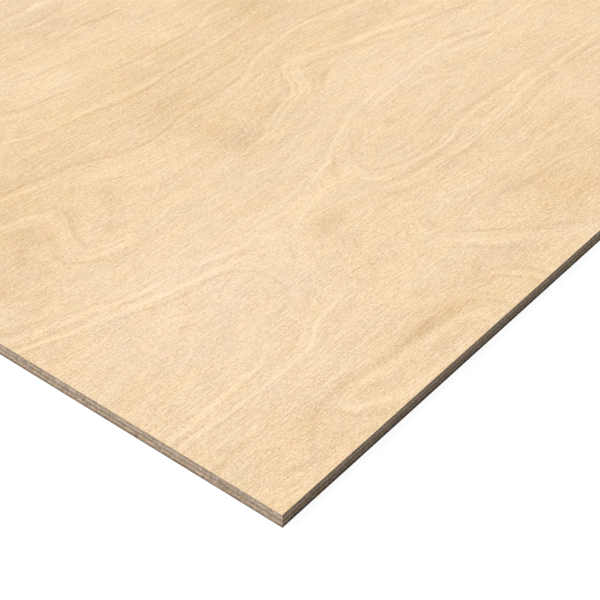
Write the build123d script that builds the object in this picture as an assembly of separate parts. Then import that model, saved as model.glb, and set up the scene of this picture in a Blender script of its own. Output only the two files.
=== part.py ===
from build123d import *
import os

# A full sheet of birch plywood lying on its back, in millimetres.
# The origin is under the middle of the sheet, +X runs along the face grain and +Z points up.
# Every second veneer is turned by a quarter, and the lay-up is the same counted from either face.

# The sheet, as sawn square after pressing
sheet_length = 2440.0
sheet_width = 1220.0

# The veneers
inner_veneer = 1.4          # thickness as pressed, glue film included
sanded_off = 0.2            # what sanding takes from each of the two outer veneers
ply_count = 11              # odd, so that both outer veneers run along the sheet


def lay_up():
    """Yields (name, thickness) of each veneer from the back of the sheet to its face.

    The veneers between the outer two are numbered downwards from the face, crossbands and
    longbands each by themselves, so the first and the last of them are crossbands.
    """
    outer_veneer = inner_veneer - sanded_off
    yield "back_veneer", outer_veneer
    for below_face in reversed(range(1, ply_count - 1)):
        band = "crossband" if below_face % 2 else "longband"
        yield f"{band}_{(below_face + 1) // 2}", inner_veneer
    yield "face_veneer", outer_veneer


def veneer(thickness, underside):
    """One veneer, with the sawn outline that all of them share, resting at the height underside."""
    outline = Plane.XY.offset(underside) * Rectangle(sheet_length, sheet_width)
    return extrude(outline, thickness)


os.makedirs("parts", exist_ok=True)
height = 0.0
for name, thickness in lay_up():
    ply = veneer(thickness, height)
    ply.label = name
    export_step(ply, f"parts/{name}.step")
    height += thickness

print("veneers", ply_count, "sheet thickness", round(height, 3))
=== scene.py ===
import math
from functools import partial, reduce

import bpy
import numpy as np
from mathutils import Matrix, Vector


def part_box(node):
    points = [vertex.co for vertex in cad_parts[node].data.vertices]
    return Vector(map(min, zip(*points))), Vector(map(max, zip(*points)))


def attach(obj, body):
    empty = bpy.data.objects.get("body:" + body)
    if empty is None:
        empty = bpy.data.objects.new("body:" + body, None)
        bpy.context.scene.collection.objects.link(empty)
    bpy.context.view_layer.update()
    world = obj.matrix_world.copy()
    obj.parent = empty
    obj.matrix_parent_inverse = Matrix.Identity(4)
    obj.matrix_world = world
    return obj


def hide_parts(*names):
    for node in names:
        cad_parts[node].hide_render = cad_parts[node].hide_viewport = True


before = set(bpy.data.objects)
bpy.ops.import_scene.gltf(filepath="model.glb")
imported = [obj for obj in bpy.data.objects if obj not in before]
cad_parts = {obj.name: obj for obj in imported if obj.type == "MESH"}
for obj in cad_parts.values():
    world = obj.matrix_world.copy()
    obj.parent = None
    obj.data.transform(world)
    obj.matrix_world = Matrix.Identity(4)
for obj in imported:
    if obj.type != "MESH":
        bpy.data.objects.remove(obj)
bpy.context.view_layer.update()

# A full birch plywood sheet in metres. +X runs along the face grain, +Z points up, out of the face.
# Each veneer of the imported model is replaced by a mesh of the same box, with broken arrises, sawn
# relief on its edges and a map of its own, so that the narrow edges have room for their grain.

MM = 0.001
low, high = (Vector(corner) for corner in (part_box("back_veneer")[0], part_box("face_veneer")[1]))


def srgb(*levels):
    """Linear colour with full alpha, from levels of 0 to 255 as a screen shows them."""
    parts = [level / 255 for level in levels]
    return tuple(p / 12.92 if p <= 0.04045 else ((p + 0.055) / 1.055) ** 2.4 for p in parts) + (1.0,)


# Node trees

class Graph:
    """The node tree of a material or a world, with short calls for the nodes that this scene uses."""

    def __init__(self, owner):
        owner.use_nodes = True
        self.owner = owner
        self.tree = owner.node_tree
        self.tree.nodes.clear()

    def feed(self, socket, value):
        if isinstance(value, bpy.types.NodeSocket):
            self.tree.links.new(value, socket)
        else:
            socket.default_value = value

    def node(self, kind, inputs=(), **settings):
        made = self.tree.nodes.new("ShaderNode" + kind)
        for key, value in settings.items():
            setattr(made, key, value)
        for key, value in dict(inputs).items():
            self.feed(made.inputs[key], value)
        return made

    def math(self, operation, *values):
        return self.node("Math", enumerate(values), operation=operation).outputs[0]

    def times(self, *values):
        return reduce(partial(self.math, "MULTIPLY"), values)

    def total(self, *values):
        return reduce(partial(self.math, "ADD"), values)

    def vector(self, operation, *values):
        return self.node("VectorMath", enumerate(values), operation=operation).outputs[0]

    def scaled(self, vector, amount):
        return self.node("VectorMath", {0: vector, "Scale": amount}, operation="SCALE").outputs[0]

    def attribute(self, name, output="Fac"):
        return self.node("Attribute", attribute_name=name).outputs[output]

    def place(self):
        return self.node("TexCoord").outputs["Object"]

    def split(self, vector):
        return self.node("SeparateXYZ", {0: vector}).outputs

    def join(self, *parts):
        return self.node("CombineXYZ", enumerate(parts)).outputs[0]

    def noise(self, vector, size, detail, roughness, offset):
        """Noise from about -1 to 1. size is the length of its features along x, y and z."""
        place = (offset, 1.7 * offset, -0.6 * offset)
        scale = tuple(1 / s for s in size)
        moved = self.node("Mapping", {"Vector": vector, "Location": place, "Scale": scale}).outputs[0]
        looks = {"Vector": moved, "Scale": 1.0, "Detail": detail, "Roughness": roughness}
        made = self.node("TexNoise", looks)
        return self.spread(made.outputs["Fac"], 0.25, 0.75, -1.0, 1.0)

    def strokes(self, vector, size, detail, roughness, offset):
        """Noise less the same noise a little aside, which leaves strokes along x and nothing broad."""
        aside = self.vector("ADD", vector, (0.0, 0.6 * size[1], 0.0))
        both = (self.noise(at, size, detail, roughness, offset) for at in (vector, aside))
        return self.math("SUBTRACT", *both)

    def spread(self, value, low, high, to_low=0.0, to_high=1.0, clamp=False, interpolation="LINEAR"):
        return self.node("MapRange", {
            "Value": value, "From Min": low, "From Max": high, "To Min": to_low, "To Max": to_high,
        }, clamp=clamp, interpolation_type=interpolation).outputs[0]

    def ramp(self, value, stops, interpolation="LINEAR"):
        made = self.node("ValToRGB", {"Fac": value})
        ramp = made.color_ramp
        ramp.interpolation = interpolation
        while len(ramp.elements) < len(stops):
            ramp.elements.new(1.0)
        for element, (position, colour) in zip(ramp.elements, stops):
            element.position = position
            element.color = colour
        return made

    def bell(self, value, middle, width):
        """1 where value is at middle, falling off smoothly over width."""
        off = self.math("DIVIDE", self.math("SUBTRACT", value, middle), width)
        return self.math("EXPONENT", self.times(off, off, -1.0))

    def by_eye(self):
        """1 for what the eye sees straight, mirrored or through glass, 0 for what only lights the rest."""
        path = self.node("LightPath").outputs
        mirrored = self.math("MAXIMUM", path["Is Camera Ray"], path["Is Glossy Ray"])
        return self.math("MAXIMUM", mirrored, path["Is Transmission Ray"])

    def finish(self, colour, roughness, height, depth, specular=0.35):
        bump = self.node("Bump", {"Height": height, "Strength": 1.0, "Distance": depth})
        shader = self.node("BsdfPrincipled", {
            "Base Color": colour, "Roughness": roughness, "Normal": bump.outputs[0],
            "Specular IOR Level": specular,
        })
        self.node("OutputMaterial", {"Surface": shader.outputs[0]})
        return self.owner


# The figure of a peeled face
# A rotary lathe cuts through the log's growth rings at a shallow angle, so a face shows their contour
# lines. ring_field gives each point of the face the number of the ring that it lies in, as a smooth
# height, and the material draws the rings' lines where that height is a whole number. All lengths of
# the figure are in millimetres, from the near left corner along the grain and across it.

# The courses of rings read off the face, which shape the ring heights: each one's number, then
# its points, along and across in turn. Single points follow.
TRACED_RINGS = [
    (0, 0, 325, 60, 303, 130, 282, 195, 262, 234, 248, 249, 225, 248, 200, 236, 181, 205, 169, 168, 154,
        140, 138, 70, 132, 0, 133),
    (-1, -10, 336, 60, 314, 150, 295, 220, 280, 285, 262, 300, 240, 292, 205, 278, 160, 262, 140, 220, 134,
        190, 123, 160, 115, 100, 117, 0, 117),
    (0, 890, 318, 830, 319, 775, 316, 710, 338, 640, 337, 555, 330, 500, 318, 455, 298, 438, 280, 433, 262,
        444, 244, 478, 228, 530, 220, 595, 229, 650, 231, 720, 233, 800, 232, 860, 226),
    (-1, 885, 334, 800, 335, 740, 347, 690, 353, 620, 346, 540, 338, 490, 322, 440, 302, 395, 282, 378, 262,
        384, 238, 415, 222, 480, 203, 560, 197, 640, 206, 730, 215, 860, 210),
    (1, 700, 300, 760, 302, 850, 308),
    (-4, 120, 483, 155, 472, 170, 458, 158, 430, 138, 398, 155, 375, 200, 365, 280, 371, 345, 370, 400, 382,
        465, 391, 512, 408, 540, 432, 562, 457, 600, 456, 680, 434, 760, 413, 830, 400),
    (-5, 200, 393, 300, 396, 385, 407),
    (-8, 150, 520, 230, 511, 290, 496, 335, 482, 390, 487, 480, 491, 540, 501, 600, 515, 670, 514, 750, 498),
    (-11, 240, 596, 300, 585, 370, 575, 430, 565, 500, 571, 580, 573, 640, 584, 690, 594),
    (-13, 275, 650, 345, 630, 430, 620, 500, 615),
    (-15, 340, 686, 410, 678),
    (-17, 350, 735, 440, 728, 540, 722),
    (-20, 420, 812, 500, 812),
    (-3, 0, 76, 60, 80, 130, 84, 200, 88),
    (-5, 405, 164, 445, 163, 485, 150, 580, 135, 640, 146, 700, 150),
    (-5, 500, 5, 475, 35, 445, 62, 412, 88, 390, 115, 388, 145),
    (-5, 150, 74, 280, 67, 340, 57),
    (-5, 372, 50, 385, 42, 402, 15, 400, 0),
    (-5, 130, 38, 167, 46, 250, 33, 300, 32, 320, 15, 250, 7, 177, 10, 147, 28, 130, 38),
    (-6, 70, 52, 120, 62, 200, 54, 265, 48, 340, 40, 372, 20, 378, 0),
]
TRACED_SPOTS = [
    (-0.5, (342, 240)), (2, (100, 215)), (2, (600, 285)), (4.5, (880, 277)), (-4.5, (225, 20)),
    (-7, (560, 80)), (-2.5, (330, 160)), (-3.4, (60, 420)),
]

# Each line read off the face: its tone, or the tones of its two ends, its width, then its points
TRACED_LINES = [
    # Beyond the hook and the fold
    (10, 2.6, 225, 608, 243, 598, 275, 585, 330, 580, 395, 569, 440, 566, 505, 571, 565, 572),
    (8, 2.6, 535, 573, 580, 573, 620, 579, 665, 591),
    (-7, 2.8, 250, 585, 300, 577, 350, 569, 390, 560, 460, 560),
    (-7, 2.7, 440, 564, 490, 564, 535, 564),
    (-7, 2.7, 550, 568, 610, 569),
    (2, 2.7, 445, 556, 475, 558, 505, 559),
    (-7, 3, 370, 523, 490, 524, 535, 526, 590, 535),
    (-6, 3, 345, 507, 395, 512, 420, 515, 458, 513),
    (-6, 3, 360, 547, 392, 547, 412, 544),
    (7, 2.8, 138, 522, 162, 518, 192, 511, 235, 499),
    (-8, 3, 145, 527, 180, 525, 220, 516, 252, 508, 280, 495, 300, 484, 330, 479, 370, 481, 410, 490,
        490, 490, 530, 495),
    (-12, 2.7, 260, 658, 282, 647, 304, 636),
    ((-6, -8), 2.7, 285, 639, 340, 632, 380, 626, 440, 619, 515, 615),
    (5, 2.7, 442, 611, 475, 610, 508, 611),
    (12, 2.7, 255, 646, 288, 635),
    (-8, 2.7, 335, 736, 370, 731, 410, 729, 485, 731, 505, 726, 540, 724, 565, 715),
    (-4, 4.5, 475, 727, 510, 726, 545, 724),
    (6, 2.7, 405, 813, 460, 813, 482, 816, 510, 812),
    (15, 4.5, 455, 815, 480, 815, 505, 814),
    (-6, 2.7, 438, 821, 485, 823),
    (-9, 2.5, 416, 787, 445, 783, 500, 786),
    (14, 2.5, 412, 783, 438, 777, 478, 778),
    (13, 2.5, 480, 776, 510, 773, 540, 773),
    (6, 2.5, 428, 749, 450, 737, 476, 748),
    (11, 4, 555, 608, 590, 619, 608, 620, 638, 612),
    (-9, 2.7, 578, 624, 615, 631, 658, 633),
    (-7, 2.7, 322, 692, 355, 684, 388, 683),
    (-7, 2.7, 378, 684, 415, 677, 448, 669),
    # The hook
    (3, 2.5, 98, 494, 125, 482, 150, 475, 172, 461),
    (3, 2.4, 106, 481, 130, 471, 152, 459, 168, 455),
    (-6, 3, 106, 453, 132, 454, 148, 459),
    (-5, 3, 153, 460, 147, 440, 134, 418, 124, 395, 127, 382, 150, 363, 205, 353),
    ((7, 3), 2.7, 136, 408, 148, 389, 160, 380, 178, 373, 200, 367, 220, 364, 260, 372, 330, 370, 365, 377,
        445, 384, 475, 390),
    (-5, 3.4, 164, 480, 182, 467, 184, 450, 176, 434, 163, 414, 158, 402, 164, 386),
    (4, 2.4, 173, 471, 180, 458, 177, 444, 160, 417, 151, 401),
    (7, 8, 146, 478, 163, 464, 165, 448, 151, 416, 142, 403, 136, 388),
    (5, 6, 90, 493, 125, 482, 152, 472, 170, 460),
    (4, 5.5, 128, 400, 137, 384, 151, 375, 175, 366, 207, 358),
    (-6, 2.7, 50, 394, 62, 372, 83, 363),
    (4, 2.7, 46, 391, 58, 369, 81, 359),
    (3, 5, 110, 347, 170, 338, 270, 345),
    (6, 2.5, 190, 310, 253, 310),
    # The tongue at the left
    (4, 2.7, 52, 355, 83, 344, 118, 331),
    (6, 3.2, -15, 351, 1, 344, 17, 336, 32, 331, 58, 319, 89, 311, 106, 303, 130, 297, 170, 289),
    (-3, 3.4, -15, 366, 12, 355, 27, 349, 64, 330, 84, 320, 107, 313, 130, 307),
    (6, 4.4, 95, 294, 121, 286, 138, 280, 152, 275, 176, 270, 222, 260),
    (-4, 5, -12, 315, 10, 304, 26, 296, 52, 286),
    (-8, 2.7, -15, 340, 17, 325, 44, 314, 72, 308, 105, 301),
    (8, 2.7, -15, 332, 6, 322, 29, 313, 50, 304, 78, 298, 104, 287, 160, 274, 260, 246),
    ((-9, -7), 3, -15, 328, 4, 318, 28, 309, 53, 299, 80, 289, 109, 278, 150, 262, 205, 254, 221, 243,
        231, 232, 235, 215, 234, 200, 230, 186, 221, 177, 203, 171, 172, 164),
    (-11, 2.7, 90, 297, 111, 296, 128, 291, 158, 284),
    (2, 3, 240, 213, 240, 179),
    (11, 2.6, 126, 292, 180, 292),
    (11, 2.8, 188, 289, 217, 280, 245, 270, 280, 266),
    (-8, 3, 192, 282, 225, 268, 242, 262, 275, 249),
    (6, 6, 266, 282, 283, 263, 296, 243),
    (-5, 3, 267, 205, 279, 221, 291, 237),
    (-6, 3, 286, 180, 283, 160, 285, 147, 291, 130),
    (3, 3, 243, 190, 250, 172, 257, 158),
    ((14, 9), 2.9, -15, 132, 25, 131, 142, 135),
    (5, 3, 125, 133, 150, 146, 168, 163),
    (11, 2.8, -15, 116, 20, 119, 60, 115, 142, 114, 175, 115, 195, 124, 215, 134, 268, 141),
    (-6, 2.7, 145, 126, 170, 128, 190, 138, 210, 141),
    (-4, 2.7, -15, 112, 50, 112, 118, 110),
    (-7, 3, -15, 73, 20, 77, 65, 83),
    (6, 4, 135, 68, 165, 72, 200, 75),
    (-6, 2.7, -15, 125, 20, 124, 48, 122),
    (4, 2.6, 24, 95, 36, 93, 52, 95),
    (9, 2.6, 42, 84, 58, 84, 76, 87),
    (-5, 2.7, 32, 111, 60, 111, 102, 112),
    (3, 2.7, 160, 122, 178, 127, 190, 133, 206, 142),
    # The loop and the bands to its right
    (-5, 3.8, 64, 14, 73, 26, 88, 42, 108, 55, 145, 61, 185, 55, 235, 50, 282, 49, 310, 38, 335, 26),
    (-3, 7, 190, 48, 240, 49, 322, 47),
    (-5, 3, 247, 44, 275, 43, 305, 38),
    (-6, 4, 290, 47, 312, 44, 328, 38, 338, 28, 345, 12, 347, -14),
    (-5, 4, 20, 28, 42, 26, 72, 21, 83, 19, 105, 13, 132, 3),
    (2, 5, -12, 9, 30, 8, 52, 6, 80, 3, 112, -3),
    (7, 4.2, 300, 3, 266, 4, 226, 6, 203, 6, 181, 9, 161, 20, 143, 29, 134, 37, 135, 44, 146, 48, 167, 48,
        196, 45, 228, 41, 258, 36, 288, 34, 309, 27, 319, 16, 320, -8),
    (3, 9, 122, 39, 150, 33, 180, 20),
    (-6, 3, 130, 55, 127, 40, 129, 31, 134, 23, 152, 7, 164, -7),
    (-4, 5.5, 160, 38, 178, 34, 197, 27, 245, 20, 276, 18, 304, 14),
    (6, 3, 342, 57, 362, 51, 376, 45, 389, 36, 398, 23, 403, 8, 401, -14),
    (-7, 2.8, 337, 62, 367, 44, 380, 35, 389, 22, 394, 8, 393, -14),
    (-7, 2.8, 352, 62, 385, 48, 398, 41, 406, 29, 410, 14, 407, -14),
    (-6, 2.8, 379, 110, 401, 85, 421, 59, 441, 38),
    (6, 8, 390, 122, 418, 84, 443, 60, 473, 33, 513, -12),
    (3, 2.7, 394, 101, 415, 79, 443, 48),
    (-6, 2.8, 411, 120, 422, 104, 436, 89, 463, 60, 484, 44, 500, 30, 514, 10),
    (5, 3, 387, 134, 394, 145, 404, 160),
    (-7, 3, 363, 133, 374, 146, 392, 159),
    (-2, 3, 403, 128, 408, 142, 413, 155),
    # The tongue at the right
    (10, 2.7, 380, 280, 412, 292, 430, 296, 456, 311, 485, 322, 510, 332, 530, 338, 595, 346),
    ((6, 8), 2.7, 570, 342, 600, 349, 700, 351, 720, 351, 735, 346, 765, 339, 800, 332, 900, 331),
    ((8, 9), 2.7, 540, 326, 565, 330, 600, 333, 645, 337, 685, 340, 705, 339, 720, 332, 740, 325, 770, 317,
        825, 320, 845, 319, 905, 325),
    (4, 5, 436, 268, 436, 250, 446, 234),
    (-8, 3, 406, 262, 424, 280),
    (-7, 3, 413, 278, 428, 286, 447, 299),
    (-7, 3, 410, 258, 421, 241, 432, 232, 448, 219, 470, 214, 510, 211, 545, 211, 575, 214),
    (-4, 4, 325, 233, 350, 231, 382, 226, 403, 217, 425, 206, 445, 198, 470, 192),
    (3, 3, 382, 231, 410, 230, 435, 225),
    ((9, 7), 2.7, 428, 268, 429, 251, 438, 236, 458, 228, 490, 223, 545, 217, 565, 222, 602, 230, 700, 230,
        730, 235, 740, 231, 800, 235, 820, 229, 847, 229, 890, 222),
    (-6, 3, 512, 306, 490, 301, 467, 292, 453, 277, 447, 262, 451, 249, 471, 234, 499, 228, 525, 227,
        560, 229),
    (-6, 2.5, 583, 243, 640, 241, 705, 236),
    (-9, 2.7, 586, 217, 640, 218, 662, 218),
    (-5, 2.7, 735, 221, 800, 220, 850, 224),
    ((6, 10), 2.7, 414, 225, 431, 215, 458, 207, 487, 204, 560, 197, 595, 200, 605, 205, 640, 204, 680, 210,
        715, 215, 755, 214, 875, 214),
    (-8, 3.6, 474, 190, 505, 190, 525, 193, 550, 191, 610, 196),
    (-7, 3, 612, 197, 645, 192, 680, 195, 760, 205),
    (-7, 2.7, 765, 206, 810, 205, 865, 203),
    (-9, 2.7, 796, 189, 835, 193),
    ((5, 6), 2.8, 423, 174, 450, 167, 475, 156, 487, 149, 515, 142, 555, 134, 612, 136),
    (4, 2.7, 430, 162, 462, 146, 480, 137, 515, 133),
    (-4, 4, 476, 121, 510, 112, 530, 107, 595, 99),
    (-4, 8, 480, 113, 550, 113),
    (8, 2.7, 598, 145, 640, 142, 665, 137),
    (-4, 2.7, 615, 138, 655, 135, 700, 130, 740, 127),
    (-6, 2.7, 584, 172, 640, 172),
    (-5, 2.7, 548, 257, 580, 259, 628, 270),
    (-9, 4.5, 710, 339, 745, 336, 762, 331, 795, 317),
    (-7, 3, 716, 358, 755, 351, 770, 343, 800, 337, 860, 336),
    (5, 2.7, 400, 329, 440, 340, 505, 353),
    # The fold
    ((8, 6), 2.8, 488, 472, 510, 486, 530, 496, 565, 508, 630, 516, 665, 515, 680, 509, 695, 499, 775, 497),
    (4, 5, 680, 500, 780, 498),
    (-2, 3, 487, 486, 515, 496, 540, 508, 570, 515, 630, 517),
    (-9, 3, 656, 522, 705, 515, 765, 497),
    (8, 2.4, 420, 384, 435, 389, 452, 395, 465, 402, 479, 408, 490, 411, 510, 415, 519, 420, 529, 428,
        536, 436, 542, 447, 550, 459, 559, 467, 571, 471, 605, 463),
    (9, 2.4, 400, 377, 417, 381, 440, 383, 453, 388, 474, 396, 499, 405, 512, 408, 522, 412, 532, 418,
        540, 428, 546, 439, 555, 450, 564, 458, 580, 461, 610, 454),
    (7, 2.4, 522, 397, 532, 406, 541, 414, 549, 426, 556, 436, 562, 445, 571, 455, 595, 456),
    (3, 2.8, 556, 463, 577, 465, 605, 457, 640, 446, 660, 440, 690, 434, 710, 427, 745, 416, 775, 406,
        815, 394),
    (5, 6, 552, 455, 577, 465, 610, 456, 660, 441, 710, 429, 775, 407),
    (5, 5, 635, 447, 680, 437, 725, 424),
    (-6, 3, 380, 391, 450, 391),
    (-6, 3.4, 450, 404, 478, 413, 502, 419),
    (-5, 3.6, 507, 414, 533, 443, 555, 473, 582, 494),
    (-4, 3.6, 575, 482, 606, 472, 640, 455, 690, 448, 740, 444),
    ((-8, -10), 3.2, 558, 450, 590, 445, 625, 434, 670, 427, 690, 426, 725, 410, 785, 396, 815, 388,
        870, 378),
    (-6, 4, 541, 393, 568, 413, 600, 424, 645, 425, 690, 414),
    (5, 4, 436, 449, 441, 426, 439, 405),
    (11, 5, 745, 444, 785, 433, 828, 422),
    (-6, 3, 726, 430, 770, 419, 832, 403),
]
LINE_LAYERS = 10  # as many as the lines need to lie in layers without touching
LINE_FADE = 25  # how long a line's end takes to fade out
LINE_REACH = 1.5  # how far from a line its layer is filled, in widths
FAR_OFF = (40.0, 0.0, 0.4)  # what a layer holds away from its lines

# How far the ring heights of two points go together: along and across, near and wide, with their shares
NEAR_REACH, NEAR_SHARE = (110, 40), 3
WIDE_REACH, WIDE_SHARE = (600, 260), 36
RING_SLACK = 0.012  # how far the field may miss the traced rings
FLATTEST = 0.012  # the least slope of the ring heights, in rings a millimetre


def line_through(points, step):
    """Points about a step apart on a smooth curve through the given ones."""
    p = np.array(points, float).reshape(-1, 2)
    p = np.vstack([2 * p[0] - p[1], p, 2 * p[-1] - p[-2]])
    found = []
    for a, b, c, d in zip(p, p[1:], p[2:], p[3:]):
        for t in np.arange(0, 1, 1 / max(1, int(np.hypot(*(c - b)) / step))):
            bend = 2 * a - 5 * b + 4 * c - d + t * (3 * b - a - 3 * c + d)
            found.append(b + 0.5 * t * (c - a + t * bend))
    return np.array(found + [p[-2]])


def alike(a, b):
    """How much the ring heights of two sets of points have to do with each other."""
    apart = a[:, None] - b[None]
    near = math.sqrt(3) * np.hypot(apart[..., 0] / NEAR_REACH[0], apart[..., 1] / NEAR_REACH[1])
    wide = np.hypot(apart[..., 0] / WIDE_REACH[0], apart[..., 1] / WIDE_REACH[1])
    return NEAR_SHARE * (1 + near) * np.exp(-near) + WIDE_SHARE * np.exp(-0.5 * wide * wide)


def waves(x, y, seed, count, size_x, size_y):
    """A smooth random field of about unit height, with features of the given sizes."""
    rng = np.random.default_rng(seed)
    found = np.zeros_like(x)
    for _ in range(count):
        kx, ky = rng.normal(0, 1 / size_x), rng.normal(0, 1 / size_y)
        found += np.cos(kx * x + ky * y + rng.uniform(0, 2 * math.pi))
    return found * math.sqrt(2 / count)


def log_rings(x, y, seed):
    """Ring heights of a whole face, which swing once across it, as the log turns against the knife."""
    middle = 240 + 60 * np.sin(x / 420 + 0.4)
    swing = 1 - np.cos(2 * math.pi * (y - middle) / 1160)
    return 1.5 - 10.5 * swing + 2.0 * np.sin(x / 190 + 0.8) + 1.8 * waves(x, y, seed, 60, 220, 90)


def ring_field(x, y, seed, rings, spots):
    """Ring heights at x, y, which pass through the traced rings."""
    field = log_rings(x, y, seed)
    if not rings:
        return field
    at = [line_through(points, 16.0) for _, *points in rings] + [np.array([p], float) for _, p in spots]
    wanted = np.concatenate([np.full(len(p), traced[0]) for traced, p in zip([*rings, *spots], at)])
    at = np.vstack(at)
    wanted = wanted - log_rings(at[:, 0], at[:, 1], seed)
    weights = np.linalg.solve(alike(at, at) + RING_SLACK * np.eye(len(at)), wanted)
    where = np.stack([x.ravel(), y.ravel()], -1)
    parts = [alike(some, at) @ weights for some in np.array_split(where, 8)]
    return field + np.concatenate(parts).reshape(x.shape)


def grown(marked):
    """The marked points of a grid with their neighbours."""
    padded = np.pad(marked, 1)
    rows, columns = marked.shape
    return np.any([padded[i:i + rows, j:j + columns] for i in range(3) for j in range(3)], axis=0)


def line_layers(x, y, lines):
    """Layers over a grid that hold, near each line, how far off it lies in widths, its tone and sharpness."""
    cell = x[0, 1] - x[0, 0]
    layers = []
    for tones, width, *points in lines:
        path = line_through(points, 3.0)
        way = np.gradient(path, axis=0)
        way /= np.hypot(*way.T)[:, None]
        gone = np.insert(np.cumsum(np.hypot(*np.diff(path, axis=0).T)), 0, 0)
        share = gone / gone[-1]
        shown = np.clip(np.minimum(gone, gone[-1] - gone) / min(LINE_FADE, gone[-1] / 3), 0, 1)
        first, last = np.broadcast_to(tones, 2)
        shown = shown * shown * (3 - 2 * shown) * (first + (last - first) * share)

        # The points of the grid near the line, with their nearest point on it
        reach = LINE_REACH * width + 1.45 * cell
        (x0, y0), (x1, y1) = path.min(axis=0) - reach - 2 * cell, path.max(axis=0) + reach + 2 * cell
        near = np.nonzero((x > x0) & (x < x1) & (y > y0) & (y < y1))
        apart = np.stack([x[near], y[near]], -1)[:, None] - path
        nearest = np.argmin(np.hypot(apart[..., 0], apart[..., 1]), axis=1)
        apart = apart[np.arange(len(nearest)), nearest]
        off = way[nearest, 0] * apart[:, 1] - way[nearest, 1] * apart[:, 0]
        inside = np.zeros(x.shape, bool)
        inside[near] = np.hypot(*apart.T) <= reach

        # The first layer that no other line has taken there
        claimed = grown(inside)
        taken, held = next((layer for layer in layers if not layer[0][claimed].any()), (None, None))
        if taken is None:
            taken, held = np.zeros(x.shape, bool), np.tile(np.array(FAR_OFF), x.shape + (1,))
            layers.append((taken, held))
        taken[claimed] = True
        mine = claimed[near]
        values = np.stack([off / width, shown[nearest] * inside[near], np.full(len(off), 1 / width)], -1)
        held[near[0][mine], near[1][mine]] = values[mine]
    if len(layers) > LINE_LAYERS:
        raise ValueError(f"the traced lines need {len(layers)} layers")
    return [held for _, held in layers]


# Touches of light and dark on the figure: centre, reach along and across the grain, tone
TOUCHES = [
    (170, 265, 150, 85, 5), (150, 150, 120, 50, 2.5), (400, 480, 50, 80, -5), (100, 460, 50, 40, -6),
    (640, 600, 55, 45, -7.5), (350, 670, 50, 32, 4.5), (440, 790, 70, 35, -5), (520, 205, 45, 18, -6),
    (550, 80, 55, 50, -7), (615, 370, 90, 45, 4.5), (480, 575, 170, 35, -4), (810, 235, 55, 50, -4),
    (690, 475, 70, 25, -4), (20, 390, 70, 30, -4), (470, 300, 55, 15, -3.5), (650, 150, 45, 25, -4),
    (200, 535, 60, 30, -4), (360, 270, 70, 22, 3.5), (350, 226, 28, 10, -9.5), (328, 205, 20, 17, -6.5),
    (398, 222, 30, 7, -4), (440, 206, 40, 6, -4), (268, 215, 12, 35, 3), (405, 396, 30, 13, -4.5),
    (400, 405, 30, 40, -3.5), (140, 505, 50, 25, -4.5), (450, 752, 45, 22, -2.5), (415, 430, 26, 18, -2.5),
    (480, 425, 20, 9, -3), (400, 515, 52, 11, -3), (230, 540, 62, 15, -2.8), (512, 727, 26, 7, -2),
    (450, 765, 80, 13, -2.8), (655, 602, 26, 9, -4.5), (640, 243, 36, 7, -1.5), (580, 261, 36, 7, -2),
    (525, 228, 24, 6, -1), (760, 455, 40, 12, -2.2), (825, 387, 20, 7, -1.5), (260, 51, 50, 9, -4),
    (228, 455, 13, 28, -3), (540, 110, 50, 12, -1.5), (600, 240, 200, 40, -1), (355, 657, 26, 10, 5),
    (400, 692, 110, 13, 2.4), (535, 640, 32, 15, 3.4), (610, 621, 14, 7, 1.5), (285, 475, 52, 13, 3.4),
    (460, 475, 72, 11, 2.4), (680, 436, 36, 8, 2), (760, 412, 30, 8, 1.5), (485, 815, 22, 7, 1.5),
    (230, 592, 26, 9, 3), (130, 285, 52, 8, 1), (410, 268, 60, 10, 2), (300, 225, 13, 26, 2),
    (750, 370, 95, 14, 2.4), (470, 340, 42, 11, 2), (480, 560, 330, 110, -1.5), (240, 205, 210, 45, 1.8),
    (150, 450, 45, 45, -2.5), (485, 412, 45, 28, -4), (560, 490, 60, 35, -2.5), (335, 440, 45, 22, 3.5),
    (700, 555, 50, 35, -3), (55, 350, 55, 22, -3), (580, 60, 60, 30, -2.5), (650, 100, 35, 25, -3),
    (80, 50, 70, 22, -2.5), (860, 300, 50, 60, 2.8), (440, 310, 60, 25, 3), (660, 300, 90, 25, 2),
    (250, 600, 30, 18, -3.5), (500, 745, 30, 20, -2.5), (310, 500, 70, 18, -2.5), (360, 105, 50, 25, 2.5),
    (700, 405, 30, 15, 2.5), (250, 650, 30, 18, -3), (340, 46, 170, 24, -2.6), (690, 452, 85, 22, -2),
    (325, 252, 95, 24, 2.2), (900, 302, 40, 28, -3), (130, 430, 40, 34, -2.2), (430, 405, 110, 22, -1.8),
    (175, 98, 50, 20, 2.2), (800, 350, 38, 18, 2.8), (465, 148, 45, 18, 2), (105, 352, 28, 12, 3),
    (478, 428, 10, 5, -3), (575, 420, 10, 5, -4), (515, 447, 28, 13, -3), (562, 385, 28, 20, 2),
    (550, 345, 35, 16, -1.5), (378, 70, 16, 6, -4), (424, 61, 14, 5, -3), (160, 140, 18, 9, 3.5),
    (110, 58, 9, 7, -4), (74, 21, 12, 6, -4), (166, 61, 12, 6, -3.5),
]

# Touches of warmth in the same way: a step is a level more of red less blue
WARMTHS = [
    (160, 240, 170, 105, -4.2), (360, 335, 190, 42, -2), (660, 345, 130, 38, -2.2), (420, 560, 420, 135, 2.4),
    (570, 75, 90, 45, 1.8), (290, 45, 80, 20, 3.4), (150, 110, 120, 40, -2.5), (480, 810, 70, 45, -4.5),
    (650, 600, 50, 30, 2), (330, 240, 24, 40, 2.5), (150, 470, 70, 50, 1),
]
TOUCH_STRENGTH = 1.08  # what both lists are multiplied by
CHANCE_TOUCH, CHANCE_WARMTH = 3.4, 2.4  # how strong they are by chance where nothing was read off

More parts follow.
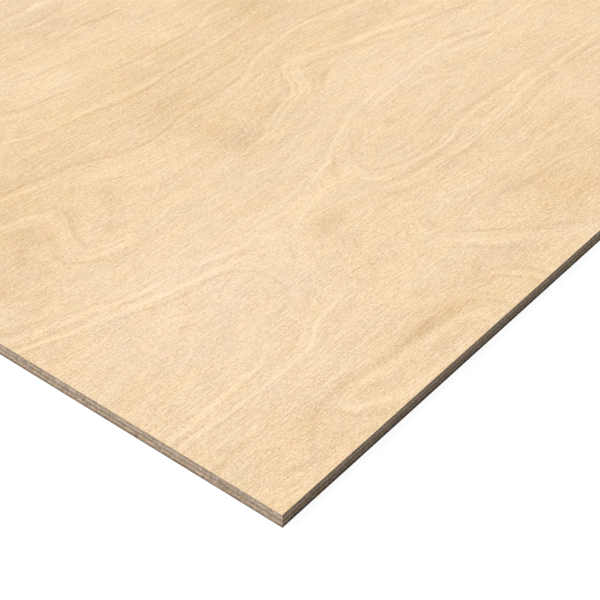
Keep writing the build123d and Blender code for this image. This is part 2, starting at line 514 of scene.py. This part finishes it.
# The straight lines that bound what was read off, each as a point and its outward direction
READ_BOUNDS = [((0, 340), (-0.75, 0.66)), ((940, 265), (0.78, 0.63)), ((545, 0), (0.56, -0.83))]
READ_FADE = 120


def was_read(x, y):
    """1 where the face was read off, falling to 0 beyond."""
    found = np.ones_like(x)
    for (px, py), (nx, ny) in READ_BOUNDS:
        found *= 1 - np.clip(((x - px) * nx + (y - py) * ny) / READ_FADE, 0, 1)
    return found


def touched(x, y, touches, read, chance):
    """The touches where the face was read off, and the field chance elsewhere."""
    found = np.zeros_like(x)
    for cx, cy, rx, ry, amount in touches:
        found += TOUCH_STRENGTH * amount * np.exp(-(((x - cx) / rx) ** 2 + ((y - cy) / ry) ** 2))
    return found * read + chance * (1 - read)


def figure_fields(x, y, seed, rings, spots, lines):
    """What the figure's material reads at each point of a grid in metres, by name."""
    along, across = (x - low.x) / MM, (y - low.y) / MM
    heights = ring_field(along, across, seed, rings, spots)
    slope = np.hypot(*np.gradient(heights, across[1, 0] - across[0, 0], along[0, 1] - along[0, 0]))
    read = was_read(along, across) if rings else np.zeros_like(along)
    touch = CHANCE_TOUCH * waves(along, across, seed + 50, 80, 90, 40)
    warmth = CHANCE_WARMTH * waves(along, across, seed + 51, 80, 150, 90)
    layers = {f"line_{n}": layer for n, layer in enumerate(line_layers(along, across, lines))}
    return {
        "ring": heights, "rings_per_mm": np.maximum(slope, FLATTEST), "unread": 1 - read,
        "touch": touched(along, across, TOUCHES, read, touch),
        "warm": touched(along, across, WARMTHS, read, warmth), **layers,
    }


# What the other rings draw, from ring 4 down to ring -21 and over again: the tones of the line
# and of the bands at its two sides, and the line's width
RING_LOOKS = [
    (2, -1, -1, 0.9), (-1.5, 0, 0, 0.9), (2, -1, 0, 0.9), (2.8, -2, -0.5, 0.9), (5, -2, -0.5, 1),
    (4, -0.5, -2, 1), (-1, 0, 0, 0.9), (-2, 2, -1, 0.8), (4, -3, -2, 1.3), (3, -1.5, -2, 1), (-4, 0, 0, 1.1),
    (1.5, 0, 0, 0.9), (-2.5, 2.5, 1, 1), (-3, 0, 0, 1.3), (-2.5, 0, 0, 1), (6.5, -4.5, -3.5, 0.7),
    (0.5, 0, 0, 1), (-5, 1, 0.5, 0.8), (1.5, 0, 0, 1), (-2.5, 0, 0, 0.8), (1, 0, 0, 1), (-5, 1, 1, 1),
    (-2, 0, 0, 1), (2, 0, -1.5, 0.8), (5, 2, -3, 0.9), (1.5, 0, 0, 0.8),
]
HIGHEST_RING = 4
TONE_SPAN, WIDTH_SPAN = 24, 2  # how these looks are packed into a ramp's colours
LINE_WIDTH = 3  # millimetres, for a line of width 1
BAND_OFF, BAND_WIDTH = 8.5, 4  # where a band lies off such a line, and its width
LINE_WAVER = 0.9  # millimetres
LINE_EDGE, LINE_POWER = 1.4, 2.6  # how soon and how sharply a traced line falls off
STREAK_TONE, STREAK_REACH = 6, 17
STREAKS_READ, STREAKS_UNREAD = 0.4, 2  # how much of the streaks shows where the face was read off or not
LINES_FADE = (0.45, 1.85)  # the range in which the rings' lines come and go
FIGURE_UNEVEN = (0.75, 1.55)  # the range in which the whole figure does
RING_SPACING = 0.050  # metres between two rings, for the growth between them
FIBRE_LEAN = -0.06  # how far the fibres lean off X, as a slope
FIBRE_DRIFT = 0.004  # and how far they wander, in metres

# Noises of the face: the length of their features along X, Y and Z in metres, then detail, roughness, seed
FACE_NOISES = {
    "waver": ((0.05, 0.012, 1), 2, 0.5, 0), "fading": ((0.14, 0.06, 1), 1, 0.5, 3),
    "uneven": ((0.06, 0.02, 1), 2, 0.5, 5), "streaks": ((0.09, 0.06, 0.0032), 2, 0.6, 6),
    "growth": ((0.16, 0.09, 0.008), 3, 0.7, 7), "drift": ((0.25, 0.08, 1), 1, 0.5, 9),
    "fibre": ((0.014, 0.0018, 1), 1, 0.6, 11), "pore": ((0.0045, 0.001, 1), 1, 0.5, 13),
    "strands": ((0.045, 0.0035, 1), 2, 0.5, 17), "speck": ((0.002, 0.0013, 1), 2, 0.8, 19),
    "mottle": ((0.03, 0.015, 1), 3, 0.6, 23), "patch": ((0.045, 0.022, 1), 2, 0.5, 31),
    "fleck": ((0.01, 0.0035, 1), 1, 0.5, 37), "line_waver": ((0.022, 0.008, 1), 2, 0.5, 81),
}
# The tones of those that lighten and darken the wood
FACE_TONES = {"growth": 6.5, "fibre": 9, "speck": 27.5, "pore": -8, "strands": 4, "mottle": 4.2}
# The ways in which the colour strays: yellowish or pinkish patches, greenish or reddish flecks, warmth
PATCH_TINT, FLECK_TINT, WARM_TINT = (-1.0, -0.15, 0.7), (0.6, -0.8, 0.5), (0.0021, 0.0, -0.0041)
PATCH_SHARE, FLECK_SHARE = 0.021, 0.020

# The sanded face's colour from its darkest tone to its lightest, one tone being a level of 255
FACE_RAMP = [(-34, (207, 173, 131)), (-16, (227, 194, 154)), (0, (241, 211, 172)), (17, (255, 230, 193))]


def face_colour(g, tone):
    darkest, lightest = FACE_RAMP[0][0], FACE_RAMP[-1][0]
    stops = [((t - darkest) / (lightest - darkest), srgb(*levels)) for t, levels in FACE_RAMP]
    return g.ramp(g.spread(tone, darkest, lightest), stops).outputs["Color"]


def face_noise(g, name, at, offset, draw=Graph.noise):
    """One of FACE_NOISES, with offset added to its seed."""
    size, detail, roughness, seed = FACE_NOISES[name]
    return draw(g, at, size, detail, roughness, offset + seed)


def ring_tone(g, at, offset):
    """The lines and bands that the rings draw by the list, and the ring height that they follow."""
    slope = g.attribute("rings_per_mm")
    waver = g.times(face_noise(g, "waver", at, offset), LINE_WAVER)
    ring = g.math("MULTIPLY_ADD", waver, slope, g.attribute("ring"))
    number = g.math("ROUND", ring)
    past = g.math("SUBTRACT", ring, number)

    # This ring's looks out of the list
    count = len(RING_LOOKS)
    turn = g.math("FLOORED_MODULO", g.math("SUBTRACT", HIGHEST_RING, number), count)
    stops = []
    for i, (*tones, width) in enumerate(RING_LOOKS):
        stops.append((i / count, (*(0.5 + tone / TONE_SPAN for tone in tones), width / WIDTH_SPAN)))
    listed = g.ramp(g.math("DIVIDE", g.math("ADD", turn, 0.5), count), stops, "CONSTANT")
    fading = g.spread(face_noise(g, "fading", at, offset), -0.7, 0.7, *LINES_FADE, clamp=True)
    width = g.times(listed.outputs["Alpha"], WIDTH_SPAN)

    # The line and its bands, which end before the next ring begins
    off = g.math("DIVIDE", g.math("DIVIDE", past, slope), width)
    places = ((0, LINE_WIDTH), (BAND_OFF, BAND_WIDTH), (-BAND_OFF, BAND_WIDTH))
    bells = (g.bell(off, *place) for place in places)
    packed = g.node("SeparateColor", {0: listed.outputs["Color"]}).outputs
    looks = (g.spread(one, 0.0, 1.0, -TONE_SPAN / 2, TONE_SPAN / 2) for one in packed)
    drawn = g.total(*(g.times(look, bell) for look, bell in zip(looks, bells)))
    drawn = g.times(drawn, g.times(fading, g.attribute("unread")))
    within = g.spread(g.math("ABSOLUTE", past), 0.5, 0.38, clamp=True, interpolation="SMOOTHSTEP")

    # Finer streaks run along with each line, the closer to it the clearer
    x, y, _ = g.split(at)
    streaks = face_noise(g, "streaks", g.join(x, y, g.times(off, MM)), offset)
    shown = g.spread(g.attribute("unread"), 0.0, 1.0, STREAKS_READ, STREAKS_UNREAD)
    streaks = g.times(streaks, g.bell(off, 0.0, STREAK_REACH), STREAK_TONE, shown)
    return g.times(g.total(drawn, streaks), within), ring


def line_tone(g, at):
    """The tone of the traced lines, which waver a little."""
    waver = g.times(face_noise(g, "line_waver", at, 0), LINE_WAVER)
    found = []
    for layer in range(LINE_LAYERS):
        off, tone, sharp = g.split(g.attribute(f"line_{layer}", "Vector"))
        off = g.math("ABSOLUTE", g.math("MULTIPLY_ADD", waver, sharp, off))
        found.append(g.times(tone, g.math("EXPONENT", g.times(g.math("POWER", off, LINE_POWER), -LINE_EDGE))))
    return g.total(*found)


def face_material(name, traced=False, darker=0.0, offset=0.0):
    """Sanded birch with its ring figure, for a mesh that holds the figure's fields."""
    g = Graph(bpy.data.materials.new(name))
    at = g.place()

    def noise(label, where=at, draw=Graph.noise):
        return face_noise(g, label, where, offset, draw)

    figure, ring = ring_tone(g, at, offset)
    if traced:
        figure = g.total(figure, line_tone(g, at))
    figure = g.times(figure, g.spread(noise("uneven"), -1, 1, *FIGURE_UNEVEN))
    x, y, _ = g.split(at)

    # Faint growth between the rings follows them. The fibres run a few degrees off the sheet's side and
    # wander, with pores as short dark dashes among them.
    grain = {"growth": noise("growth", g.join(x, y, g.times(ring, RING_SPACING)))}
    drift = g.times(noise("drift"), FIBRE_DRIFT)
    laid = g.join(x, g.total(y, g.times(x, -FIBRE_LEAN), drift), 0.0)
    grain["fibre"] = noise("fibre", laid, Graph.strokes)
    grain["pore"] = g.spread(noise("pore", laid), 0.35, 1.0, clamp=True)
    grain.update({label: noise(label, laid) for label in ("strands", "speck", "mottle")})
    tones = (g.times(grain[label], tone) for label, tone in FACE_TONES.items())
    colour = face_colour(g, g.total(figure, g.attribute("touch"), -darker, *tones))

    patch = g.times(noise("patch"), PATCH_SHARE)
    fleck = g.times(noise("fleck", laid), FLECK_SHARE)
    for way, amount in ((PATCH_TINT, patch), (FLECK_TINT, fleck), (WARM_TINT, g.attribute("warm"))):
        colour = g.vector("ADD", colour, g.scaled(way, amount))
    roughness = g.spread(grain["fibre"], -1.0, 1.0, 0.66, 0.54)
    raised = g.total(grain["fibre"], grain["speck"])
    height = g.total(raised, g.times(grain["pore"], -0.8), g.times(grain["strands"], 0.5))
    return g.finish(colour, roughness, height, 0.007 * MM)


# Each veneer's colour where it is sawn, from the face down. Every second one has its grain along Y.
SAWN = {
    "face_veneer": (160, 140, 118), "crossband_1": (187, 168, 149), "longband_1": (171, 153, 135),
    "crossband_2": (204, 188, 170), "longband_2": (159, 139, 117), "crossband_3": (174, 152, 130),
    "longband_3": (167, 148, 126), "crossband_4": (202, 184, 165), "longband_4": (161, 140, 118),
    # The back veneer's edge colour is darkened well past its wood as painted contact shadow along the sheet's
    # bottom.
    "crossband_5": (174, 149, 126), "back_veneer": (98, 82, 68),
}
# Noises of the sawn edges, as those of the face: the grain's, along it first, and others
GRAIN_NOISES = {"streak": ((0.04, 0.0014, 0.0005), 3, 0.6, 0), "pore": ((0.006, 0.0006, 0.0004), 1, 0.5, 3)}
SAW_NOISES = {
    "ticks": ((0.0017, 1, 0.01), 2, 0.65, 71), "torn": ((0.0018, 0.0018, 0.0009), 2, 0.7, 29),
    "patch": ((0.013, 0.013, 0.0018), 2, 0.55, 25), "stain": ((0.007, 0.007, 0.0016), 1, 0.5, 35),
    "fleck": ((0.0021, 0.0021, 0.001), 1, 0.5, 31),
}
SAWN_TONES = {"streak": 22, "pore": 10, "torn": 16, "ticks": 11, "patch": 10}
TICK_SLANT = 0.35
SAW_SPAN, SAW_RANGE = 40, (0.35, 1.65)  # an edge's darkest and lightest tone, and its brightness there
ROUGH = (1.45, 0.85)  # how rough the edges across the sheet and along it are
RIPPED = (0.83, 1.15)  # the brightness where the saw ran along the sheet, longband and crossband
STAIN = srgb(126, 88, 62)  # the reddish brown of heartwood and of glue that soaked in
STAIN_DEPTHS, STAIN_SHARE = (0.75, 0.30), 0.6
EDGE_FLECK_TINT, EDGE_FLECK_SHARE = (0.55, -0.20, -0.35), 0.10


def sawn_material(name, colour, across, offset):
    """A veneer's sawn edge. The grain is drawn in space: pores where the saw cut across it, else streaks."""
    g = Graph(bpy.data.materials.new(name))
    at = g.place()
    x, y, z = g.split(at)
    drawn = {}
    for label, ((length, width, depth), detail, roughness, seed) in GRAIN_NOISES.items():
        laid = (width, length, depth) if across else (length, width, depth)
        drawn[label] = g.noise(at, laid, detail, roughness, offset + seed)

    # The saw's teeth leave slanting ticks, which run on from veneer to veneer
    slanting = g.join(g.total(x, y, g.times(z, TICK_SLANT)), 0.0, z)
    for label, settings in SAW_NOISES.items():
        drawn[label] = g.noise(slanting if label == "ticks" else at, *settings)
    tone = g.total(*(g.times(drawn[label], tone) for label, tone in SAWN_TONES.items()))
    ripped = g.math("ABSOLUTE", g.split(g.node("NewGeometry").outputs["Normal"])[1])
    rough = g.spread(ripped, 0.3, 0.7, *ROUGH, clamp=True)
    factor = g.spread(g.times(tone, rough), -SAW_SPAN, SAW_SPAN, *SAW_RANGE)
    factor = g.times(factor, g.spread(ripped, 0.3, 0.7, 1.0, RIPPED[across], clamp=True))

    # Stains, more of them lower down
    deep = g.math("SUBTRACT", drawn["stain"], g.spread(z, high.z, low.z, *STAIN_DEPTHS))
    amount = g.times(g.spread(deep, 0.0, 0.5, clamp=True), STAIN_SHARE)
    mixed = g.node("Mix", {"Factor": amount}, data_type="RGBA")
    g.feed(mixed.inputs["A"], g.scaled(colour[:3], factor))
    g.feed(mixed.inputs["B"], STAIN)
    fleck = g.scaled(EDGE_FLECK_TINT, g.times(drawn["fleck"], EDGE_FLECK_SHARE))
    height = g.total(*(drawn[label] for label in ("streak", "pore", "torn", "ticks")))
    roughness = g.spread(drawn["streak"], -1.0, 1.0, 0.92, 0.80)
    return g.finish(g.vector("ADD", mixed.outputs["Result"], fleck), roughness, height, 0.04 * MM, 0.0)


def glue_material():
    """The dried film of phenolic glue between two veneers, which only a taken-apart model shows."""
    g = Graph(bpy.data.materials.new("glue_film"))
    blotches = g.noise(g.place(), (0.22, 0.14, 1), 2, 0.5, 41)
    colour = g.ramp(g.spread(blotches, -1.0, 1.0), [(0.0, srgb(112, 70, 48)), (1.0, srgb(134, 90, 64))])
    return g.finish(colour.outputs["Color"], 0.45, blotches, 0.02 * MM)


# Meshes

LONG_COLUMNS, SHORT_COLUMNS = 608, 304  # of the sawn edges, about 4 mm apart
AROUND = 2 * (LONG_COLUMNS + SHORT_COLUMNS)
GROOVE = 0.12 * MM  # how far a veneer's edge draws in where it meets its neighbour
ARRIS = 0.12 * MM  # the worn arris of the two faces
SAW_MARK = 0.035 * MM  # how deep the saw's marks are, and how many waves make them up
SAW_WAVES = 12
MARGIN = 0.002  # left free at the sides of the bake's map


def across_map(share):
    return MARGIN + (1 - 2 * MARGIN) * share


def rim_of(a, b):
    """Points round a box's outline, from its lowest corner, each with its outward direction."""
    xs, ys = np.linspace(a.x, b.x, LONG_COLUMNS + 1), np.linspace(a.y, b.y, SHORT_COLUMNS + 1)
    sides = [
        (xs[:-1], np.full(LONG_COLUMNS, a.y), (0, -1)),
        (np.full(SHORT_COLUMNS, b.x), ys[:-1], (1, 0)),
        (xs[:0:-1], np.full(LONG_COLUMNS, b.y), (0, 1)),
        (np.full(SHORT_COLUMNS, a.x), ys[:0:-1], (-1, 0)),
    ]
    points = np.concatenate([np.stack([x, y], -1) for x, y, _ in sides])
    out = np.concatenate([np.tile(np.array(way, float), (len(x), 1)) for x, _, way in sides])
    starts = np.cumsum([0] + [len(x) for x, _, _ in sides])[:4]
    out[starts] += np.roll(out[starts], 1, axis=0)
    return points, out


def sawn_relief(seed, rows):
    """How far each point of a sawn edge lies behind the saw's plane, a row of columns at a time."""
    rng = np.random.default_rng(seed)
    turn = np.arange(AROUND) * 2 * math.pi / AROUND
    found = []
    for _ in range(rows):
        wave = sum(np.sin(turn * rng.integers(150, 700) + rng.uniform(0, 6.3)) for _ in range(SAW_WAVES))
        found.append(SAW_MARK * np.clip(wave / 2.4 + 0.2 + rng.uniform(-0.2, 0.2), 0, None))
    return found


def cap_faces(first):
    """Faces that close the rim of points that begins at first: strips across the sheet, and two ends."""
    front = first + np.arange(LONG_COLUMNS + 1)
    right = front[-1] + np.arange(SHORT_COLUMNS + 1)
    rear = right[-1] + np.arange(LONG_COLUMNS + 1)
    left = first + (rear[-1] - first + np.arange(SHORT_COLUMNS + 1)) % AROUND
    faces = [[front[i], front[i + 1], rear[-2 - i], rear[-1 - i]] for i in range(1, LONG_COLUMNS - 1)]
    faces.append([front[0], front[1], rear[-2], *left[:-1]])
    faces.append([front[-2], *right, rear[1]])
    return [[int(v) for v in face] for face in faces]


class Builder:
    """Gathers vertices and faces, each face with its material and its place on the bake's map."""

    def __init__(self):
        self.vertices, self.faces = np.zeros((0, 3)), []

    def points(self, xy, z):
        """Adds points at height z and returns the number of the first."""
        first = len(self.vertices)
        self.vertices = np.vstack([self.vertices, np.column_stack([xy, np.full(len(xy), z)])])
        return first

    def face(self, corners, slot, uv):
        self.faces.append((corners, slot, uv))

    def cap(self, first, a, b, slot, low_v, high_v, flip):
        """Closes the rim that begins at vertex first, mapped between two heights of the map."""
        for corners in cap_faces(first):
            shares = (self.vertices[corners, :2] - (a.x, a.y)) / (b.x - a.x, b.y - a.y)
            uv = np.stack([across_map(shares[:, 0]), low_v + (high_v - low_v) * shares[:, 1]], -1)
            if flip:
                corners, uv = corners[::-1], uv[::-1]
            self.face(corners, slot, uv)

    def wall(self, rings, slot, low_v, high_v, rows, fill):
        """Walls between rings of rim points, from the lowest up, laid on the map in rows of equal runs."""
        run = AROUND // rows
        heights = self.vertices[rings, 2]
        shares = (heights - heights[0]) / (heights[-1] - heights[0])
        tall = (high_v - low_v) / rows
        for i in range(AROUND):
            row, step = divmod(i, run)
            u0, u1 = (across_map((step + k) / run) for k in (0, 1))
            base = low_v + row * tall
            for k, (lower, upper) in enumerate(zip(rings, rings[1:])):
                v0, v1 = (base + tall * (0.04 + fill * shares[m]) for m in (k, k + 1))
                j = (i + 1) % AROUND
                corners = [lower + i, lower + j, upper + j, upper + i]
                self.face(corners, slot, np.array([(u0, v0), (u1, v0), (u1, v1), (u0, v1)]))

    def piece(self, name, materials, flip=False):
        mesh = bpy.data.meshes.new(name)
        faces, slots, uv = zip(*self.faces)
        if flip:
            faces, uv = [face[::-1] for face in faces], [places[::-1] for places in uv]
        mesh.from_pydata(self.vertices.tolist(), [], faces)
        for material in materials:
            mesh.materials.append(material)
        mesh.polygons.foreach_set("material_index", slots)
        layer = mesh.uv_layers.new(name="OFBake")
        layer.data.foreach_set("uv", np.concatenate(uv).astype(np.float32).ravel())
        mesh.update()
        made = bpy.data.objects.new(name, mesh)
        bpy.context.scene.collection.objects.link(made)
        return made


# The rows of the bake's map: of a ply's edge and its two caps
PLY_WALL, PLY_ROWS, PLY_FILL = (0.0, 0.94), 24, 0.88
PLY_CAPS = ((0.945, 0.969), (0.973, 0.997))
# Of an outer veneer's sanded side, its edge, the worn arris within each of the edge's rows, and its cap
FACE_TALL = 0.86
FACE_WALL, FACE_ROWS, FACE_FILL = (0.866, 0.986), 12, 0.66
ARRIS_V, ARRIS_TALL = 0.0075, 0.0015
FACE_CAP = (0.989, 0.999)


def ply_piece(node, colour, across, seed, glue):
    """An inner veneer, whose sawn edges draw in a little along the two glue lines."""
    a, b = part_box(node)
    made = Builder()
    rim, out = rim_of(a, b)
    relief = [GROOVE, *sawn_relief(seed, 3), GROOVE]
    heights = [a.z, a.z + GROOVE, (a.z + b.z) / 2, b.z - GROOVE, b.z]
    rings = [made.points(rim - out * np.reshape(inset, (-1, 1)), z) for inset, z in zip(relief, heights)]
    made.wall(rings, 0, *PLY_WALL, PLY_ROWS, PLY_FILL)
    for ring, rows, flip in zip((rings[0], rings[-1]), PLY_CAPS, (True, False)):
        made.cap(ring, a, b, 1, *rows, flip)
    name = node + "_sawn"
    return made.piece(name, [sawn_material(name + "_edge", colour, across, float(seed)), glue])


def face_piece(node, up, material, colour, seed, glue, rings=(), spots=(), lines=()):
    """An outer veneer: its sanded side, which looks up or down, is a fine grid that holds the figure."""
    a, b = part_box(node)
    made = Builder()
    outer, inner = (b.z, a.z) if up else (a.z, b.z)
    side = 1 if up else -1
    nx, ny = LONG_COLUMNS // 2 + 1, SHORT_COLUMNS // 2 + 1
    x, y = np.meshgrid(np.linspace(a.x, b.x, nx), np.linspace(a.y, b.y, ny))
    rim, out = rim_of(a, b)

    # The grid, drawn in along its rim by the arris
    index = np.arange(nx * ny).reshape(ny, nx)
    edge = np.concatenate([index[0, :-1], index[:-1, -1], index[-1, :0:-1], index[:0:-1, 0]])
    worn = ARRIS * (0.75 + 0.25 * np.random.default_rng(seed).uniform(-1, 1, len(edge)))
    grid = np.stack([x, y], -1).reshape(-1, 2)
    grid[edge] -= out[::2] * worn[:, None]
    made.points(grid, outer)
    shares = (grid - (a.x, a.y)) / (b.x - a.x, b.y - a.y)
    places = np.stack([across_map(shares[:, 0]), MARGIN + FACE_TALL * shares[:, 1]], -1)
    quads = np.stack([index[:-1, :-1], index[:-1, 1:], index[1:, 1:], index[1:, :-1]], -1).reshape(-1, 4)
    for corners in quads.tolist():
        made.face(corners, 0, places[corners])

    # The arris, then the sawn edge down to the glue line
    relief = [GROOVE, *sawn_relief(seed, 2)]
    levels = [inner, inner + side * GROOVE, outer - side * ARRIS]
    walls = [made.points(rim - out * np.reshape(inset, (-1, 1)), z) for inset, z in zip(relief, levels)]
    upper, run = walls[-1], AROUND // FACE_ROWS
    for i in range(0, AROUND, 2):
        j, k = i // 2, (i // 2 + 1) % len(edge)
        corners = [upper + i, upper + i + 1, upper + (i + 2) % AROUND, int(edge[k]), int(edge[j])]
        row, step = divmod(i, run)
        u0, u1, u2 = (across_map((step + n) / run) for n in range(3))
        v0 = FACE_WALL[0] + (FACE_WALL[1] - FACE_WALL[0]) / FACE_ROWS * row + ARRIS_V
        v1 = v0 + ARRIS_TALL
        made.face(corners, 1, np.array([(u0, v0), (u1, v0), (u2, v0), (u2, v1), (u0, v1)]))
    made.wall(walls, 1, *FACE_WALL, FACE_ROWS, FACE_FILL)
    made.cap(walls[0], a, b, 2, *FACE_CAP, True)
    name = node + "_sanded"
    materials = [material, sawn_material(name + "_edge", colour, 0, float(seed)), glue]
    piece = made.piece(name, materials, flip=not up)

    # The figure, held by the grid's points, which come first among the vertices
    for label, values in figure_fields(x, y, seed, rings, spots, lines).items():
        flat = values.reshape(nx * ny, -1)
        full = np.zeros((len(piece.data.vertices), flat.shape[1]), np.float32)
        full[:len(flat)] = flat
        kind, key = ("FLOAT_VECTOR", "vector") if flat.shape[1] == 3 else ("FLOAT", "value")
        piece.data.attributes.new(label, kind, "POINT").data.foreach_set(key, full.ravel())
    return piece


glue = glue_material()
for n, (node, levels) in enumerate(SAWN.items()):
    colour = srgb(*levels)
    if node == "face_veneer":
        look = face_material("sanded_birch_face", traced=True)
        traced = (TRACED_RINGS, TRACED_SPOTS, TRACED_LINES)
        made = face_piece(node, True, look, colour, 4, glue, *traced)
    elif node == "back_veneer":
        look = face_material("sanded_birch_back", darker=6.0, offset=60.0)
        made = face_piece(node, False, look, colour, 9, glue)
    else:
        made = ply_piece(node, colour, n % 2, 20 + n, glue)
    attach(made, "root")
    node if node.endswith("veneer") else node.split("_")[0] + "_veneer"
    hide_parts(node)


# The floor, which is white to the eye and keeps a soft contact shadow

FLOOR_REACH = 8.0
FLOOR_SHADE, FLOOR_GLOW = 0.08, 0.95  # how much of the light on it the eye sees, over a glow of its own
FLOOR_BOUNCE = 0.8  # how much of it the floor throws back at the sheet

floor_mesh = bpy.data.meshes.new("floor")
corners = [(x * FLOOR_REACH, y * FLOOR_REACH, 0) for x, y in ((-1, -1), (1, -1), (1, 1), (-1, 1))]
floor_mesh.from_pydata(corners, [], [(0, 1, 2, 3)])
floor = bpy.data.objects.new("floor", floor_mesh)
bpy.context.scene.collection.objects.link(floor)
floor.location.z = low.z
g = Graph(bpy.data.materials.new("floor"))
greys = ((grey, grey, grey, 1) for grey in (FLOOR_BOUNCE, FLOOR_SHADE))
bounce, shade = (g.node("BsdfDiffuse", {"Color": grey}).outputs[0] for grey in greys)
glow = g.node("Emission", {"Color": (1, 1, 1, 1), "Strength": FLOOR_GLOW}).outputs[0]
shown = g.node("AddShader", {0: shade, 1: glow}).outputs[0]
mixed = g.node("MixShader", {0: g.by_eye(), 1: bounce, 2: shown})
g.node("OutputMaterial", {"Surface": mixed.outputs[0]})
floor_mesh.materials.append(g.owner)


# Light and camera

DOME, SUN = 0.10, 0.90  # their shares of the light on the face, which together make 1
SUN_HEIGHT, SUN_HEADING, SUN_SIZE = (math.radians(angle) for angle in (53, 134, 25))
EYE = Vector((-1.84415, -1.1539, 0.90945))
HEADING, TILT, ROLL = (math.radians(angle) for angle in (39.911, -38.908, -0.7025))
LENS, SENSOR = 88.41, 36.0  # millimetres

scene = bpy.context.scene
scene.view_settings.view_transform = "Standard"

world = bpy.data.worlds.new("studio")
scene.world = world
g = Graph(world)
level = g.spread(g.by_eye(), 0.0, 1.0, DOME, 1.0)
sky = g.node("Background", {"Color": (1, 1, 1, 1), "Strength": level})
g.node("OutputWorld", {"Surface": sky.outputs[0]})

lamp = bpy.data.lights.new("sun", "SUN")
lamp.energy = SUN * math.pi / math.sin(SUN_HEIGHT)
lamp.angle = SUN_SIZE
sun = bpy.data.objects.new("sun", lamp)
scene.collection.objects.link(sun)
flat = math.cos(SUN_HEIGHT)
towards_sun = Vector((flat * math.cos(SUN_HEADING), flat * math.sin(SUN_HEADING), math.sin(SUN_HEIGHT)))
sun.rotation_euler = towards_sun.to_track_quat("Z", "Y").to_euler()
sun.location = 3 * towards_sun

lens = bpy.data.cameras.new("camera")
lens.lens, lens.sensor_width = LENS, SENSOR
camera = bpy.data.objects.new("camera", lens)
scene.collection.objects.link(camera)
camera.matrix_world = (
    Matrix.Translation(EYE)
    @ Matrix.Rotation(HEADING - math.pi / 2, 4, "Z")
    @ Matrix.Rotation(math.pi / 2 + TILT, 4, "X")
    @ Matrix.Rotation(ROLL, 4, "Z")
)
scene.camera = camera

bpy.context.view_layer.update()
